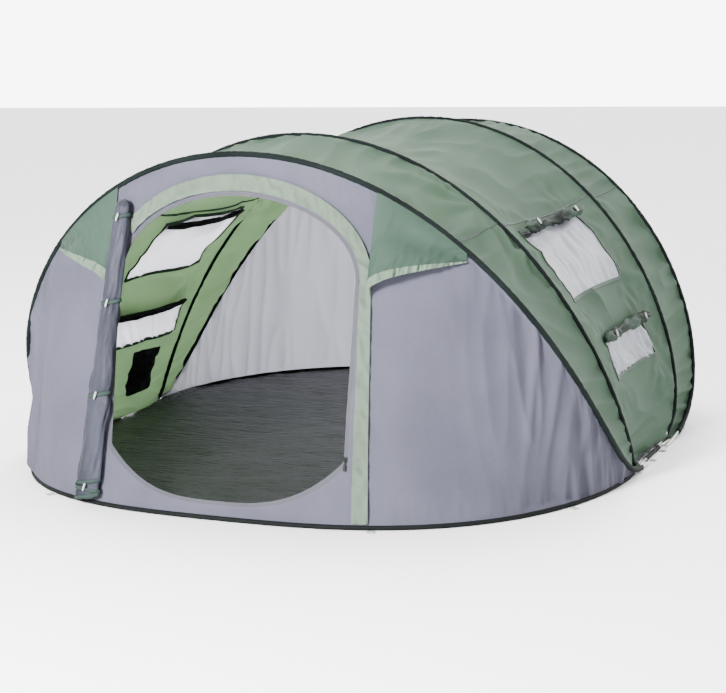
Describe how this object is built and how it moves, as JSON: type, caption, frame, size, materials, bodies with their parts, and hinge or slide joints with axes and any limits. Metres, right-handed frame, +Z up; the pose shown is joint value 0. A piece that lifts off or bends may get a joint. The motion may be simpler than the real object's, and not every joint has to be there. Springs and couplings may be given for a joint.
{
  "type": "pop up tent",
  "caption": "Low dome tent on sprung hoops over an oval base, with an arched front door, rolled door and window covers, clear side windows and vents under hoods.",
  "frame": {"origin": "on the ground at the middle of the base", "axes": "+Z up, -Y towards the door, +X to the right of somebody facing +Y"},
  "size_m": [2.252, 2.6346, 1.1881],
  "materials": {
    "rod": "smooth pultruded fibreglass",
    "ferrule": "plain tube",
    "sleeve": "very dark green-black woven tape",
    "outer_green": "grey-green woven polyester, lightly creased",
    "gusset_green": "pale grey-green woven polyester",
    "front_lilac": "lilac-grey coated polyester with soft folds",
    "back_grey": "light grey coated polyester",
    "flap_green": "pale green woven polyester",
    "floor": "charcoal woven polyethylene sheet, crinkled",
    "film": "milky translucent film with creases",
    "mesh": "black insect mesh",
    "roll_grey": "dark grey mesh and cloth rolled together",
    "cover_green": "dark green cloth rolled up",
    "tie": "pale green tape",
    "toggle": "white moulded peg",
    "webbing": "white woven webbing",
    "zip": "black coil zip",
    "slider": "black enamel"
  },
  "bodies": {
    "middle": {"hoop_2_rods": "rod", "hoop_2_ferrules": "ferrule", "hoop_2_sleeve": "sleeve", "side_rods": "rod", "side_sleeves": "sleeve", "corner_loops": "webbing", "floor_middle": "floor", "roof_panel": "outer_green", "side_panel_right": "outer_green", "side_panel_left": "outer_green", "window_upper_right": "film", "window_upper_left": "film", "window_lower_right": "film", "window_lower_left": "film", "cover_roll_upper_right": "cover_green", "cover_roll_upper_left": "cover_green", "cover_roll_lower_right": "cover_green", "cover_roll_lower_left": "cover_green", "mesh_roll_upper_right": "mesh", "mesh_roll_upper_left": "mesh", "mesh_roll_lower_right": "mesh", "mesh_roll_lower_left": "mesh", "cover_ties": "tie", "cover_toggles": "toggle", "storage_pocket": "mesh"},
    "hoop_1": {"hoop_1_rods": "rod", "hoop_1_ferrules": "ferrule", "hoop_1_sleeve": "sleeve", "front_strip": "outer_green", "front_panel": "front_lilac", "vent_mesh_right": "mesh", "vent_mesh_left": "mesh", "vent_hood_right": "gusset_green", "vent_hood_left": "gusset_green", "rain_flap": "flap_green", "door_roll": "roll_grey", "door_ties": "tie", "door_toggles": "toggle", "door_zip": "zip"},
    "base_front": {"base_front_rods": "rod", "base_front_ferrules": "ferrule", "base_front_sleeve": "sleeve", "floor_front": "floor", "peg_loops_front": "webbing"},
    "hoop_3": {"hoop_3_rods": "rod", "hoop_3_ferrules": "ferrule", "hoop_3_sleeve": "sleeve"},
    "hoop_4": {"hoop_4_rods": "rod", "hoop_4_ferrules": "ferrule", "hoop_4_sleeve": "sleeve", "rear_strip": "outer_green"},
    "base_back": {"base_back_rods": "rod", "base_back_ferrules": "ferrule", "base_back_sleeve": "sleeve", "floor_back": "floor", "peg_loops_back": "webbing", "back_panel": "back_grey"},
    "zip_slider": {"zip_slider": "slider"},
    "zip_pull": {"zip_pull": "slider"}
  },
  "joints": [
    {"name": "gather", "type": "hinge", "parent": "middle", "child": "hoop_3", "pos_m": [0, 0.125, 0.008], "axis": [1, 0, 0], "range_deg": [0, 36], "stiffness_Nm_per_rad": 60, "deforming": ["roof_panel", "side_panel_right", "side_panel_left", "window_upper_right", "window_upper_left", "window_lower_right", "window_lower_left", "cover_roll_upper_right", "cover_roll_upper_left", "cover_roll_lower_right", "cover_roll_lower_left", "mesh_roll_upper_right", "mesh_roll_upper_left", "mesh_roll_lower_right", "mesh_roll_lower_left", "cover_ties", "cover_toggles", "storage_pocket", "hoop_2_sleeve", "hoop_3_sleeve"]},
    {"name": "gather_hoop_1", "type": "hinge", "parent": "middle", "child": "hoop_1", "pos_m": [0, -0.125, 0.008], "axis": [-1, 0, 0], "range_deg": [0, 14], "deforming": ["front_strip"]},
    {"name": "gather_base_front", "type": "hinge", "parent": "hoop_1", "child": "base_front", "pos_m": [0, -0.125, 0.008], "axis": [-1, 0, 0], "range_deg": [0, 45], "deforming": ["front_panel", "door_zip", "vent_mesh_right", "vent_mesh_left", "vent_hood_right", "vent_hood_left", "rain_flap", "door_roll", "door_ties", "door_toggles", "hoop_1_sleeve", "base_front_sleeve", "floor_front"]},
    {"name": "gather_hoop_4", "type": "hinge", "parent": "hoop_3", "child": "hoop_4", "pos_m": [0, 0.125, 0.008], "axis": [1, 0, 0], "range_deg": [0, 14], "deforming": ["rear_strip"]},
    {"name": "gather_base_back", "type": "hinge", "parent": "hoop_4", "child": "base_back", "pos_m": [0, 0.125, 0.008], "axis": [1, 0, 0], "range_deg": [0, 45], "deforming": ["back_panel", "hoop_4_sleeve", "base_back_sleeve", "floor_back"]},
    {"name": "zip_slide", "type": "slide", "parent": "base_front", "child": "zip_slider", "axis": [0, 0.2138, 0.9769], "range_m": [0, 0.5]},
    {"name": "zip_pull_swing", "type": "hinge", "parent": "zip_slider", "child": "zip_pull", "pos_m": [0.424, -1.24459, 0.21671], "axis": [-1, 0, 0], "range_deg": [0, 150]}
  ],
  "couplings": [
    {"joint": "gather_hoop_1", "follows": "gather", "ratio": 0.38889},
    {"joint": "gather_base_front", "follows": "gather", "ratio": 1.25},
    {"joint": "gather_hoop_4", "follows": "gather", "ratio": 0.38889},
    {"joint": "gather_base_back", "follows": "gather", "ratio": 1.25}
  ]
}
